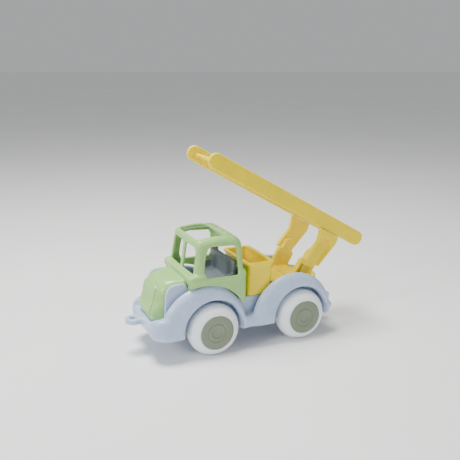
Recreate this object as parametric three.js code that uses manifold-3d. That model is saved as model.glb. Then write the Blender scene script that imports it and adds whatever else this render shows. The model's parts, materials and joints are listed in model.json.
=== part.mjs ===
// Toy ladder truck: cab and tub on a chassis with four wheels, and a ladder on a turntable.
// Millimetres. +X is forward, +Y is the left side, +Z is up, and the wheels stand on z = 0.
import * as THREE from 'three';
import { mergeVertices } from 'three/addons/utils/BufferGeometryUtils.js';
import Module from 'manifold-3d';

const wasm = await Module();
wasm.setup();

// ---- Driving dimensions -------------------------------------------------------------------
const GAP = 0.3;                  // clearance between pieces that touch
const ORIGIN_SHIFT = -0.9;         // moves the middle of the overall length to x = 0
const WHEELBASE = 115.3;
const FRONT_X = WHEELBASE / 2;
const REAR_X = -WHEELBASE / 2;
const SIDES = { left: 1, right: -1 };

const WHEEL = { radius: 31, track: 38, halfWidth: 13.9, faceRadius: 20.4, seatRadius: 14, bead: 19 };
const AXLE = { radius: 2, halfLength: 45 };
const HUB = { thickness: 4, recess: 0.6, boss: 12.6 };
const RIM_INNER = 24.5;           // distance of a rim's inner end from the truck's middle

const BELLY = { bottom: 27, deck: 47, halfWidth: 21, wall: 3 };
const BELLY_ROOMS = [[-93, -70], [-46, -14], [28, 45], [70, 108]];
const BLOCK = { front: 24, rear: -16, halfWidth: 33, roomFront: 21, roomRear: -12, roomHalf: 30 };
const WELL = { radius: 34, wall: 2 };
const FENDER = { radius: 53.7, forward: 11, centreZ: 32, lip: 35, inner: 37, outer: 46.5, round: 4 };
const BOARD = { front: 30, rear: -20, top: 40, halfWidth: 46 };
const BUMPER = { front: 131, rear: 100, top: 44.7, halfWidth: 46, corner: 15, cheekTop: 51, round: 4 };
const TOW = { tip: 150.3, radius: 9, z: 40.7, thickness: 6.6, holeRadius: 3.5 };
const TAIL = { rear: -100, front: -96, top: 51, halfWidth: 43 };
const LAMPS = [{ x: -97, y: 42, z: 38, radius: 4.2 }, { x: -95, y: 42, z: 52, radius: 3 }];
const HOOK = { x: -113, radius: 5, thickness: 4, pinRadius: 2.8, height: 15 };
const FIN = { inner: 30, thickness: 3.6, rear: 86, front: 113.5, foot: 46, top: 89 };
const KEEPER = { half: 9, halfWidth: 18 };

const CAB = { front: 87, rear: 16.5, side: 44, sill: 98, bottom: 59, wall: 2.8, sillDip: 3.5 };
const LEDGE = { rear: 80, front: 88.5, bottom: 89.7, frontTop: 96.5, halfWidth: 43 };
const HOUSE = { roof: 139.6, front: 76, rear: 22.6, roofSide: 38.5, footFront: 82, footSide: 42 };
const WINDOW = { rear: 29.5, front: 66.5, headFront: 63.4, head: 127, mullion: 3.2, paneSide: 34 };
const HATCH = { rear: 39, front: 72.4, halfWidth: 29, corner: 6 };
const BACK_OPENING = { halfWidth: 31, top: 123.5 };
const HOOD = { halfWidth: 29, noseX: 129, top: 91.5, roomFront: 100 };
const GRILLE = { halfWidth: 19, slats: 7, pitch: 4.6, slatWidth: 2.2, raised: 2.2, plate: 1.3 };
const SEAT = { rear: 25.5, front: 56, halfWidth: 33, bottom: 74, cushionTop: 82, backTop: 107 };
const ARM = { front: 46, top: 92, thickness: 3 };

const TUB = { front: 13, rear: -24, halfWidth: 36.3, top: 102.6, bottom: 62, wall: 2.6, rim: 4 };

const TURN = { x: -61, radius: 36, bottom: 67.4, thickness: 3, bossRadius: 9, slot: 2 };
const PIVOT = { x: -78, z: 100, pinRadius: 3 };
const UPRIGHT = { inner: 23, outer: 30, width: 23, lean: 30, shoulder: -8, eye: 7.5, web: 2.4 };
const REST_TILT = 29.4;           // degrees that the ladder points up at rest

const RAIL = { tail: -54.5, tip: 183.4, bottom: 35.3, height: 18.4, outer: 34.3, thickness: 5 };
const RUNG = { count: 11, first: 168.4, pitch: 20.6, width: 7, height: 4.6, socket: 2.4 };
const LEG = { inner: 30.4, outer: 36.6, web: 2.4, rim: 3, rear: -11.7, front: 11.3, bottom: -9.6, corner: 3 };
const PIN_DEPTH = { upright: 1.4, leg: 1.6 };   // how far a pin's blind holes reach into each web
const FAR = 60;                   // more than the truck's half-width, for cuts that go right through

// ---- Materials ----------------------------------------------------------------------------
function plastic(hex, roughness = 0.4) {
  return new THREE.MeshStandardMaterial({ color: hex, roughness, metalness: 0 });
}
const PALE_BLUE = plastic(0xcfdbe6);
const PALE_GREEN = plastic(0xbfd8ac);
const YELLOW = plastic(0xe0bf2c);
const GREY = plastic(0x848c8e, 0.5);
const WHITE = plastic(0xf4f7f8, 0.6);
const SAGE = plastic(0x8c9683, 0.45);
const STEEL = new THREE.MeshStandardMaterial({ color: 0xb9bcc0, roughness: 0.3, metalness: 1 });

// ---- Solids -------------------------------------------------------------------------------
function solid(geometry) {
  const bare = geometry.clone();
  bare.deleteAttribute('normal');
  bare.deleteAttribute('uv');
  const merged = mergeVertices(bare, 1e-4);
  const vertProperties = new Float32Array(merged.attributes.position.array);
  const triVerts = new Uint32Array(merged.index.array);
  return new wasm.Manifold(new wasm.Mesh({ numProp: 3, vertProperties, triVerts }));
}

function join(...parts) {
  return parts.reduce((whole, part) => whole.add(part));
}

function cut(whole, ...parts) {
  return parts.reduce((rest, part) => rest.subtract(part), whole);
}

function box(x0, x1, y0, y1, z0, z1) {
  const geometry = new THREE.BoxGeometry(x1 - x0, y1 - y0, z1 - z0);
  geometry.translate((x0 + x1) / 2, (y0 + y1) / 2, (z0 + z1) / 2);
  return solid(geometry);
}

// A box whose top is smaller than its foot; each end is { x0, x1, y } with y the half-width.
function taperedBox(foot, top, z0, z1) {
  const geometry = new THREE.BoxGeometry(1, 1, 1);
  const position = geometry.attributes.position;
  for (let i = 0; i < position.count; i += 1) {
    const end = position.getZ(i) > 0 ? top : foot;
    const x = position.getX(i) > 0 ? end.x1 : end.x0;
    const y = position.getY(i) > 0 ? end.y : -end.y;
    position.setXYZ(i, x, y, position.getZ(i) > 0 ? z1 : z0);
  }
  return solid(geometry);
}

// Extrudes a side view, drawn as (x, z), from y0 to y1, with rounded edges of size `round`.
function sideSolid(shape, y0, y1, round = 0, curveSegments = 5) {
  const geometry = new THREE.ExtrudeGeometry(shape, {
    depth: y1 - y0 - 2 * round,
    bevelEnabled: round > 0,
    bevelThickness: round,
    bevelSize: round,
    bevelOffset: -round,
    bevelSegments: 2,
    curveSegments,
  });
  geometry.rotateX(Math.PI / 2);
  geometry.translate(0, y1 - round, 0);
  return solid(geometry);
}

// Extrudes a plan view, drawn as (x, y), from z0 to z1.
function planSolid(shape, z0, z1, round = 0, curveSegments = 5) {
  const geometry = new THREE.ExtrudeGeometry(shape, {
    depth: z1 - z0 - 2 * round,
    bevelEnabled: round > 0,
    bevelThickness: round,
    bevelSize: round,
    bevelOffset: -round,
    bevelSegments: 2,
    curveSegments,
  });
  geometry.translate(0, 0, z0 + round);
  return solid(geometry);
}

function cylinderY(radius, x, z, y0, y1, segments = 28) {
  const geometry = new THREE.CylinderGeometry(radius, radius, y1 - y0, segments);
  geometry.translate(x, (y0 + y1) / 2, z);
  return solid(geometry);
}

function cylinderZ(radius, x, y, z0, z1, segments = 28) {
  const geometry = new THREE.CylinderGeometry(radius, radius, z1 - z0, segments);
  geometry.rotateX(Math.PI / 2);
  geometry.translate(x, y, (z0 + z1) / 2);
  return solid(geometry);
}

function polygon(points) {
  return new THREE.Shape(points.map(([a, b]) => new THREE.Vector2(a, b)));
}

function roundedRect(x0, x1, y0, y1, r) {
  const shape = new THREE.Shape();
  shape.moveTo(x0 + r, y0);
  shape.lineTo(x1 - r, y0);
  shape.absarc(x1 - r, y0 + r, r, -Math.PI / 2, 0);
  shape.lineTo(x1, y1 - r);
  shape.absarc(x1 - r, y1 - r, r, 0, Math.PI / 2);
  shape.lineTo(x0 + r, y1);
  shape.absarc(x0 + r, y1 - r, r, Math.PI / 2, Math.PI);
  shape.lineTo(x0, y0 + r);
  shape.absarc(x0 + r, y0 + r, r, Math.PI, Math.PI * 1.5);
  return shape;
}

// A bar with round ends.
function capsule(x0, x1, y0, y1) {
  const r = (y1 - y0) / 2;
  const shape = new THREE.Shape();
  shape.absarc(x1 - r, y0 + r, r, -Math.PI / 2, Math.PI / 2);
  shape.absarc(x0 + r, y0 + r, r, Math.PI / 2, Math.PI * 1.5);
  shape.closePath();
  return shape;
}

// The same solid on both sides of the truck, made by mirroring the left one.
function bothSides(left) {
  return join(left, left.mirror([0, 1, 0]));
}

function mesh(name, shape, material) {
  const { vertProperties, triVerts } = shape.getMesh();
  const geometry = new THREE.BufferGeometry();
  geometry.setAttribute('position', new THREE.BufferAttribute(vertProperties, 3));
  geometry.setIndex(new THREE.BufferAttribute(triVerts, 1));
  geometry.computeVertexNormals();
  const piece = new THREE.Mesh(geometry, material);
  piece.name = name;
  return piece;
}

// ---- Chassis ------------------------------------------------------------------------------
// A fender seen from the side: a round arch whose centre lies ahead of the axle.
function fenderOutline(axleX, radius) {
  const centreX = axleX + FENDER.forward;
  const drop = Math.asin((FENDER.centreZ - BELLY.bottom) / radius);
  const shape = new THREE.Shape();
  shape.absarc(centreX, FENDER.centreZ, radius, -drop, Math.PI + drop);
  shape.closePath();
  return shape;
}

function leftFender(axleX) {
  const outline = fenderOutline(axleX, FENDER.radius);
  const roll = sideSolid(outline, FENDER.inner, FENDER.outer, FENDER.round, 12);
  return cut(roll, cylinderY(FENDER.lip, axleX, WHEEL.radius, 0, FAR));
}

// The roof over a wheel, between the belly and the fender.
function leftWell(axleX) {
  const radius = WELL.radius + WELL.wall;
  const outer = cylinderY(radius, axleX, WHEEL.radius, BELLY.halfWidth - 1, FENDER.inner + 5);
  const below = box(axleX - FAR, axleX + FAR, 0, FAR, -FAR, BELLY.bottom);
  return cut(outer, below);
}

function wheelSpace(axleX) {
  return bothSides(cylinderY(WELL.radius, axleX, WHEEL.radius, BELLY.halfWidth + 2, FAR));
}

// The bumper is low in the middle, under the hood, and rises at both ends.
function bumper() {
  const { front, rear, halfWidth, corner, top, cheekTop } = BUMPER;
  const plan = roundedRect(rear - corner, front, -halfWidth, halfWidth, corner);
  const full = planSolid(plan, BELLY.bottom, cheekTop, BUMPER.round);
  const notch = box(rear - corner - 5, front + 5, -FIN.inner, FIN.inner, top, cheekTop + 5);
  return cut(full, notch);
}

function towEye() {
  const { tip, radius, z, thickness, holeRadius } = TOW;
  const centre = tip - radius;
  const tongue = join(
    cylinderZ(radius, centre, 0, z - thickness / 2, z + thickness / 2),
    box(BUMPER.front - 5, centre, -radius, radius, z - thickness / 2, z + thickness / 2),
  );
  return cut(tongue, cylinderZ(holeRadius, centre, 0, z - 10, z + 10, 24));
}

function rearHook() {
  const { x, radius, thickness, pinRadius, height } = HOOK;
  const floor = BELLY.bottom;
  return join(
    box(x, TAIL.front, -radius, radius, floor, floor + thickness),
    cylinderZ(radius, x, 0, floor, floor + thickness, 32),
    cylinderZ(pinRadius, x, 0, floor, floor + height, 24),
  );
}

function leftFin() {
  const { inner, thickness, rear, front, foot, top } = FIN;
  const shape = new THREE.Shape();
  shape.moveTo(rear, foot);
  shape.lineTo(rear, top - 9);
  shape.quadraticCurveTo(rear + 1, top - 0.5, rear + 7, top);
  shape.lineTo(front - 10.5, top - 0.5);
  shape.quadraticCurveTo(front - 1.5, top - 3, front - 0.5, top - 13);
  shape.lineTo(front, foot);
  return sideSolid(shape, inner, inner + thickness, 1.2);
}

// Small round lamps on the corners of the tail.
function leftLamps() {
  const balls = LAMPS.map(({ x, y, z, radius }) => {
    const geometry = new THREE.SphereGeometry(radius, 14, 8);
    geometry.translate(x, y, z);
    return solid(geometry);
  });
  return join(...balls);
}

function runningBoard() {
  const { rear, front, halfWidth, top } = BOARD;
  return planSolid(roundedRect(rear, front, -halfWidth, halfWidth, 3), BELLY.bottom, top, 2);
}

function tailBeam() {
  const { rear, front, halfWidth, top } = TAIL;
  return planSolid(roundedRect(rear, front + 8, -halfWidth, halfWidth, 5), BELLY.bottom, top, 2);
}

function chassisOutside() {
  const { bottom, deck, halfWidth } = BELLY;
  const sides = [FRONT_X, REAR_X].map((x) => join(leftFender(x), leftWell(x)));
  return join(
    box(TAIL.front, BUMPER.front - 12, -halfWidth, halfWidth, bottom, deck),
    box(BLOCK.rear, BLOCK.front, -BLOCK.halfWidth, BLOCK.halfWidth, BOARD.top - 4, TUB.bottom - GAP),
    runningBoard(),
    tailBeam(),
    bumper(),
    bothSides(join(...sides)),
    bothSides(join(leftFin(), leftLamps())),
  );
}

// The belly is a shell that is open below, with the axles in notches of its side walls.
function chassisHollow() {
  const { bottom, deck, halfWidth, wall } = BELLY;
  const { roomRear, roomFront, roomHalf } = BLOCK;
  const inner = halfWidth - wall;
  const spaces = BELLY_ROOMS.map(([x0, x1]) => box(x0, x1, -inner, inner, bottom - 5, deck - wall));
  const ceiling = TUB.bottom - GAP - wall;
  return join(...spaces, box(roomRear, roomFront, -roomHalf, roomHalf, bottom - 5, ceiling));
}

function axleNotch(axleX) {
  const r = AXLE.radius + GAP;
  const { half, halfWidth } = KEEPER;
  const floor = BELLY.bottom - 5;
  return join(
    cylinderY(r, axleX, WHEEL.radius, -FAR, FAR, 24),
    box(axleX - r, axleX + r, -FAR, FAR, floor, WHEEL.radius),
    box(axleX - half, axleX + half, -halfWidth, halfWidth, floor, WHEEL.radius - r + 0.2),
  );
}

function chassisFrame() {
  const outside = chassisOutside();
  const turnHole = cylinderZ(TURN.bossRadius + GAP, TURN.x, 0, BELLY.deck - 10, 90, 32);
  const axles = [FRONT_X, REAR_X].map((x) => join(axleNotch(x), wheelSpace(x)));
  const body = cut(outside, chassisHollow(), ...axles, turnHole);
  return mesh('chassis_frame', join(body, towEye(), rearHook()), PALE_BLUE);
}

// ---- Cab ----------------------------------------------------------------------------------
// The green body below the windows: it sits over the front fenders and ends behind them.
function cabBody() {
  const { front, rear, side, sill, bottom, wall, sillDip } = CAB;
  const shell = planSolid(roundedRect(rear, front, -side, side, 5), bottom, sill, 2);
  const room = box(rear + wall, front - wall, -side + wall, side - wall, bottom - 5, sill - 2.5);
  const hatch = box(rear + wall + 4, front - 10, -side + 7, side - 7, bottom, sill + 5);
  const dip = box(WINDOW.rear + 1, WINDOW.front - 1, -FAR, FAR, sill - sillDip, sill + 1);
  return cut(shell, room, hatch, dip);
}

// Posts and roof rails above the sill, open at the front, back, sides and top.
function cabFrame() {
  const { roof, front, rear, roofSide, footFront, footSide } = HOUSE;
  const { sill, wall } = CAB;
  const foot = { x0: rear - 2, x1: footFront, y: footSide };
  const top = { x0: rear, x1: front, y: roofSide };
  const inside = (end) => ({ x0: end.x0 + wall, x1: end.x1 - wall, y: end.y - wall });
  const shell = taperedBox(foot, top, sill + GAP, roof);
  const room = taperedBox(inside(foot), inside(top), sill - 4, roof - 4);
  return mesh('cab_frame', cut(shell, room, ...cabOpenings()), PALE_GREEN);
}

function sideWindowOutline() {
  const { rear, front, headFront, head } = WINDOW;
  const foot = CAB.sill - 2;
  const shape = new THREE.Shape();
  shape.moveTo(rear, foot);
  shape.lineTo(front, foot);
  shape.lineTo(headFront, head - 5);
  shape.quadraticCurveTo(headFront - 2, head, headFront - 7, head);
  shape.lineTo(rear + 8, head);
  shape.quadraticCurveTo(rear + 2, head, rear + 1.5, head - 6);
  return shape;
}

function cabOpenings() {
  const { roof, front } = HOUSE;
  const { mullion, paneSide, head, rear } = WINDOW;
  const foot = CAB.sill - 2;
  const hatch = roundedRect(HATCH.rear, HATCH.front, -HATCH.halfWidth, HATCH.halfWidth, HATCH.corner);
  return [
    sideSolid(sideWindowOutline(), -FAR, FAR),
    bothSides(box(front - 12, front + 20, mullion, paneSide, foot, head + 1.2)),
    planSolid(hatch, roof - 14, roof + 5),
    box(0, rear + 2, -BACK_OPENING.halfWidth, BACK_OPENING.halfWidth, foot, BACK_OPENING.top),
  ];
}

// The hood's side view, from the windscreen ledge over the nose to the bumper.
function hoodOutline(inset) {
  const nose = HOOD.noseX - inset;
  const shape = new THREE.Shape();
  shape.moveTo(CAB.front - 4, BUMPER.top + GAP);
  shape.lineTo(CAB.front - 4, HOOD.top - 0.5 - inset);
  shape.lineTo(101, HOOD.top - inset);
  shape.quadraticCurveTo(nose - 7, HOOD.top - 0.5 - inset, nose - 3, 73);
  shape.quadraticCurveTo(nose + 0.3, 58, nose - 2.2, BUMPER.top + GAP);
  return shape;
}

// The hood's plan narrows towards a broad, nearly flat nose with tight corners.
function hoodPlan(inset) {
  const nose = HOOD.noseX - inset;
  const half = HOOD.halfWidth - inset;
  const shape = new THREE.Shape();
  shape.moveTo(40, -1);
  shape.lineTo(nose, -1);
  shape.quadraticCurveTo(nose, half - 18, nose - 1.2, half - 11);
  shape.quadraticCurveTo(nose - 2, half - 6.5, nose - 6, half - 4.5);
  shape.quadraticCurveTo(nose - 12, half, nose - 24, half);
  shape.lineTo(40, half);
  return bothSides(planSolid(shape, 40, 100));
}

function hood() {
  const halfWidth = HOOD.halfWidth;
  const block = sideSolid(hoodOutline(0), -halfWidth, halfWidth, 2);
  return block.intersect(hoodPlan(0));
}

function hoodRoom() {
  const { wall } = CAB;
  const halfWidth = HOOD.halfWidth - wall;
  const inside = sideSolid(hoodOutline(wall), -halfWidth, halfWidth).intersect(hoodPlan(wall));
  return join(inside, box(CAB.front - 8, HOOD.roomFront, -halfWidth, halfWidth, 40, 80));
}

// What the cab must leave free: the fenders and the two fins beside the hood.
function cabClearance() {
  const { inner, thickness, top } = FIN;
  const outline = fenderOutline(FRONT_X, FENDER.radius + GAP);
  const fender = sideSolid(outline, FENDER.inner - GAP, FAR, 0, 24);
  const wellRadius = WELL.radius + WELL.wall + GAP;
  const well = cylinderY(wellRadius, FRONT_X, WHEEL.radius, BELLY.halfWidth - 1 - GAP, FAR);
  const fin = box(80, BUMPER.front + 3, inner - GAP, inner + thickness + GAP, 0, top + GAP);
  const blockHalf = BLOCK.halfWidth + GAP;
  const middle = box(0, BLOCK.front + GAP, -blockHalf, blockHalf, 0, TUB.bottom);
  return join(bothSides(join(fender, well, fin)), middle);
}

function cabShell() {
  const { rear, front, bottom, frontTop, halfWidth } = LEDGE;
  const section = polygon([[rear, bottom], [front, bottom], [front, frontTop], [rear, CAB.sill - 0.1]]);
  const green = join(cabBody(), sideSolid(section, -halfWidth, halfWidth), hood());
  const room = box(CAB.rear + 8, 78, -34, 34, 70, CAB.sill + 1);
  return mesh('cab_shell', cut(green, hoodRoom(), room, cabClearance()), PALE_GREEN);
}

// A slatted panel that follows the curve of the nose.
function grillePanel() {
  const { halfWidth, slats, pitch, slatWidth, raised, plate } = GRILLE;
  const bars = [];
  for (let i = 0; i < slats; i += 1) {
    const middle = (i - (slats - 1) / 2) * pitch;
    bars.push(box(80, 140, middle - slatWidth / 2, middle + slatWidth / 2, 52, 82));
  }
  const skin = (inset) => sideSolid(hoodOutline(inset), -30, 30).intersect(hoodPlan(inset));
  const panel = sideSolid(polygon([[106, 50], [140, 50], [140, 86], [112, 88]]), -halfWidth, halfWidth);
  const face = cut(skin(-raised), skin(0.1 - plate)).intersect(panel).intersect(join(...bars));
  const back = cut(skin(-plate), skin(-GAP)).intersect(panel);
  return mesh('grille_panel', join(back, face), PALE_GREEN);
}

function seatBench() {
  const { rear, front, halfWidth, bottom, cushionTop, backTop } = SEAT;
  const cushion = box(rear + 4.5, front, -halfWidth, halfWidth, bottom, cushionTop);
  const back = box(rear, rear + 5, -halfWidth, halfWidth, bottom, backTop);
  const arms = bothSides(box(rear, ARM.front, halfWidth - ARM.thickness, halfWidth, bottom, ARM.top));
  return mesh('seat_bench', join(cushion, back, arms), GREY);
}

// ---- Tub ----------------------------------------------------------------------------------
// The tub's walls lean outwards a little; `inset` shrinks the outline by a wall's thickness.
function tubBody(inset, z0, z1) {
  const { front, rear, halfWidth } = TUB;
  const foot = { x0: rear + 4 + inset, x1: front - 1 - inset, y: halfWidth - 1.5 - inset };
  const top = { x0: rear + 1.5 + inset, x1: front - 0.5 - inset, y: halfWidth - 0.8 - inset };
  return taperedBox(foot, top, z0, z1);
}

function cargoTub() {
  const { front, rear, halfWidth, top, bottom, wall, rim } = TUB;
  const lip = planSolid(roundedRect(rear, front, -halfWidth, halfWidth, 4), top - rim, top, 1.5);
  const outside = join(tubBody(0, bottom, top - 3), lip);
  return mesh('cargo_tub', cut(outside, tubBody(wall, bottom + wall, top + 1)), YELLOW);
}

// ---- Turntable ----------------------------------------------------------------------------
function alongLean(distance, across = 0) {
  const lean = THREE.MathUtils.degToRad(UPRIGHT.lean);
  return [
    PIVOT.x - distance * Math.sin(lean) + across * Math.cos(lean),
    PIVOT.z + distance * Math.cos(lean) + across * Math.sin(lean),
  ];
}

// A rectangle in the uprights' leaning frame, with two corners cut where `chamfer` is set.
function leanedPlate(low, high, half, chamfer = 0) {
  return polygon([
    alongLean(low, -half), alongLean(low, half),
    alongLean(high - chamfer * 0.75, half), alongLean(high, half - chamfer),
    alongLean(high, -half + chamfer), alongLean(high - chamfer * 0.75, -half),
  ]);
}

function leftUpright() {
  const { inner, outer, width, shoulder, eye, web, lean } = UPRIGHT;
  const half = width / 2;
  const slope = THREE.MathUtils.degToRad(lean);
  const foot = -(PIVOT.z - TURN.bottom - 1 + half * Math.sin(slope)) / Math.cos(slope);
  const plate = join(
    sideSolid(leanedPlate(foot, shoulder, half, 4), inner, outer),
    sideSolid(leanedPlate(shoulder - 6, 0, eye), inner, outer),
    cylinderY(eye, PIVOT.x, PIVOT.z, inner, outer),
  );
  const room = sideSolid(leanedPlate(foot, shoulder - 5, half - 3), inner + web, outer + 1);
  const holeRadius = PIVOT.pinRadius + GAP;
  const pinHole = cylinderY(holeRadius, PIVOT.x, PIVOT.z, inner + PIN_DEPTH.upright, FAR, 20);
  const below = box(TURN.x - FAR, TURN.x + FAR, 0, FAR, 0, TURN.bottom + 1);
  return cut(plate, room, pinHole, below);
}

function turntable() {
  const { x, radius, bottom, thickness, bossRadius, slot } = TURN;
  const top = bottom + thickness;
  const bridgeHalf = UPRIGHT.inner + 1;
  const disc = cylinderZ(radius, x, 0, bottom, top, 64);
  const bridge = box(x - 12, x + 8, -bridgeHalf, bridgeHalf, top - 1, top + 3);
  const boss = cylinderZ(bossRadius, x, 0, BELLY.deck - 6, bottom + 1, 28);
  const split = box(x - 20, x + 20, -slot, slot, BELLY.deck - 10, BELLY.deck + 4);
  const body = join(disc, bridge, boss, bothSides(leftUpright()));
  return mesh('turntable', cut(body, split), YELLOW);
}

// ---- Ladder, in its own frame: the origin is the pivot and +X runs along the rails ---------
function rail(side) {
  const { tail, tip, bottom, height, outer, thickness } = RAIL;
  const bar = sideSolid(capsule(tail, tip, bottom, bottom + height), outer - thickness, outer, 1, 10);
  const sockets = rungPlaces().map((u) => rungSolid(u, GAP, outer - thickness + RUNG.socket + GAP));
  const left = cut(bar, ...sockets);
  return side > 0 ? left : left.mirror([0, 1, 0]);
}

function rungPlaces() {
  return Array.from({ length: RUNG.count }, (_, i) => RUNG.first - i * RUNG.pitch);
}

function rungSolid(u, grow, halfLength) {
  const n = RAIL.bottom + RAIL.height / 2;
  const w = RUNG.width / 2 + grow;
  const h = RUNG.height / 2 + grow;
  return sideSolid(roundedRect(u - w, u + w, n - h, n + h, 1.8), -halfLength, halfLength, 0, 2);
}

function legOutline(inset) {
  const { rear, front, bottom, corner } = LEG;
  const low = bottom - inset + corner;
  const shape = new THREE.Shape();
  shape.absarc(rear + inset + corner, low, corner, Math.PI, Math.PI * 1.5);
  shape.absarc(front - inset - corner, low, corner, Math.PI * 1.5, Math.PI * 2);
  shape.lineTo(6.4 - inset, 17);
  shape.quadraticCurveTo(6.5 - inset, 24, 11.5 - inset * 2, RAIL.bottom - GAP - inset);
  shape.lineTo(-18 + inset, RAIL.bottom - GAP - inset);
  shape.quadraticCurveTo(-20 + inset, 27, -18.5 + inset, 21);
  return shape;
}

function leg(side) {
  const { inner, outer, web, rim } = LEG;
  const outside = sideSolid(legOutline(0), inner, outer);
  const recess = sideSolid(legOutline(rim), inner + web, outer + 1);
  const pinHole = cylinderY(PIVOT.pinRadius + GAP, 0, 0, 0, inner + PIN_DEPTH.leg, 20);
  const left = cut(outside, recess, pinHole);
  return side > 0 ? left : left.mirror([0, 1, 0]);
}

// A short pin, hidden in blind holes of an upright and a leg.
function pivotPin(side) {
  const start = UPRIGHT.inner + PIN_DEPTH.upright + GAP;
  const end = LEG.inner + PIN_DEPTH.leg - GAP;
  const left = cylinderY(PIVOT.pinRadius, 0, 0, start, end, 20);
  return side > 0 ? left : left.mirror([0, 1, 0]);
}

function ladderGroup() {
  const group = new THREE.Group();
  group.position.set(PIVOT.x, 0, PIVOT.z);
  group.rotation.y = -THREE.MathUtils.degToRad(REST_TILT);
  for (const [name, side] of Object.entries(SIDES)) {
    group.add(mesh(`ladder_rail_${name}`, rail(side), YELLOW));
    group.add(mesh(`ladder_leg_${name}`, leg(side), YELLOW));
    group.add(mesh(`pivot_pin_${name}`, pivotPin(side), YELLOW));
  }
  rungPlaces().forEach((u, i) => {
    const halfLength = RAIL.outer - RAIL.thickness + RUNG.socket;
    group.add(mesh(`ladder_rung_${i + 1}`, rungSolid(u, 0, halfLength), YELLOW));
  });
  return group;
}

// ---- Wheels -------------------------------------------------------------------------------
// Lathe profiles are (radius, distance outwards from the truck's middle).
function lathe(points, segments = 40) {
  const geometry = new THREE.LatheGeometry(points.map(([r, y]) => new THREE.Vector2(r, y)), segments);
  return solid(geometry);
}

function tyreProfile() {
  const { radius, track, halfWidth, faceRadius, seatRadius, bead } = WHEEL;
  const steps = 10;
  const points = [];
  for (let i = 0; i < steps; i += 1) {
    const angle = -Math.PI / 2 + (Math.PI * i) / steps;
    points.push([bead + (radius - bead) * Math.cos(angle), track + halfWidth * Math.sin(angle)]);
  }
  const face = track + halfWidth;
  const seat = face - HUB.thickness - HUB.recess;
  points.push([faceRadius + 1, face]);
  points.push([faceRadius + GAP, face - 0.6]);
  points.push([faceRadius + GAP, seat]);
  points.push([seatRadius + GAP, seat]);
  points.push([seatRadius + GAP, track - halfWidth]);
  points.push(points[0]);
  return points;
}

function rimProfile() {
  const { track, halfWidth, seatRadius } = WHEEL;
  const bore = AXLE.radius + 0.05;
  const outer = track + halfWidth - HUB.thickness - HUB.recess - GAP;
  return [[bore, RIM_INNER], [seatRadius, RIM_INNER], [seatRadius, outer], [bore, outer], [bore, RIM_INNER]];
}

function hubProfile() {
  const { track, halfWidth, faceRadius } = WHEEL;
  const back = track + halfWidth - HUB.thickness - HUB.recess;
  const face = track + halfWidth + 0.5;
  return [
    [0, back], [faceRadius, back], [faceRadius, face - 1.6], [faceRadius - 1.6, face - 0.4],
    [HUB.boss + 0.9, face - 1.4], [HUB.boss, face - 0.6], [0, face - 0.2],
  ];
}

function wheelParts(axleName, axleX) {
  const group = new THREE.Group();
  group.position.set(axleX, 0, WHEEL.radius);
  const turned = (profile, side, segments) => {
    const left = lathe(profile, segments);
    return side > 0 ? left : left.mirror([0, 1, 0]);
  };
  for (const [name, side] of Object.entries(SIDES)) {
    const wheel = `${axleName}_${name}`;
    group.add(mesh(`${wheel}_tyre`, turned(tyreProfile(), side, 26), WHITE));
    group.add(mesh(`${wheel}_rim`, turned(rimProfile(), side, 20), WHITE));
    group.add(mesh(`${wheel}_hub_cap`, turned(hubProfile(), side, 26), SAGE));
  }
  const { radius, halfLength } = AXLE;
  group.add(mesh(`${axleName}_axle`, cylinderY(radius, 0, 0, -halfLength, halfLength, 24), STEEL));
  return group;
}

// A plate that snaps in under an axle and keeps it in its notches.
function axleKeeper(name, axleX) {
  const half = KEEPER.half - GAP;
  const halfWidth = KEEPER.halfWidth - GAP;
  const top = WHEEL.radius - AXLE.radius - 0.25;
  const plate = box(axleX - half, axleX + half, -halfWidth, halfWidth, BELLY.bottom, top);
  return mesh(name, plate, PALE_BLUE);
}

const truck = new THREE.Group();
truck.position.x = ORIGIN_SHIFT;
truck.add(chassisFrame(), cabShell(), cabFrame(), grillePanel(), seatBench(), cargoTub(), turntable());
truck.add(axleKeeper('front_axle_keeper', FRONT_X), axleKeeper('rear_axle_keeper', REAR_X));
truck.add(wheelParts('front', FRONT_X), wheelParts('rear', REAR_X), ladderGroup());

export default truck;
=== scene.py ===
# Toy ladder truck: moulded plastic shells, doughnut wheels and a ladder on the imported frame.
# Shapes are worked out in millimetres in the truck's own frame (x forward, y left, z up,
# x = 0 midway between the axles) as distance fields, and placed in the frame in metres.
import json
import math

import bmesh
import bpy
import numpy as np
from mathutils import Matrix, Vector


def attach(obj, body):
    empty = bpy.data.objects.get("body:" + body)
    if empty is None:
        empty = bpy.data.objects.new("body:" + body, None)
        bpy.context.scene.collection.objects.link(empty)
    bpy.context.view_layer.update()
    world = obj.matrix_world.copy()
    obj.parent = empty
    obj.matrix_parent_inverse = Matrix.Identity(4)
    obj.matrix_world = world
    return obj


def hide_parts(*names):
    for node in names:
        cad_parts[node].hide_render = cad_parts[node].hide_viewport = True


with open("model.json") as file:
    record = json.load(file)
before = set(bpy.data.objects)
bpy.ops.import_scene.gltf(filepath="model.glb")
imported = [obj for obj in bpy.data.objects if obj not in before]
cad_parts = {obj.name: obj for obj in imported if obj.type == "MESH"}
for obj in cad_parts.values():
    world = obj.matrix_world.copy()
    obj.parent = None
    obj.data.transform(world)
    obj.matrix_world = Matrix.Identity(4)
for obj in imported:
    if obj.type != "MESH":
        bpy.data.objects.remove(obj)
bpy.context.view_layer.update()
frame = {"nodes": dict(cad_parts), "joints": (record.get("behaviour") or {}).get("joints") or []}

JOINTS = {joint["name"]: joint for joint in frame["joints"]}
MM = 0.001


def joint_point(name):
    return [value / MM for value in JOINTS[name]["pos_m"]]


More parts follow.
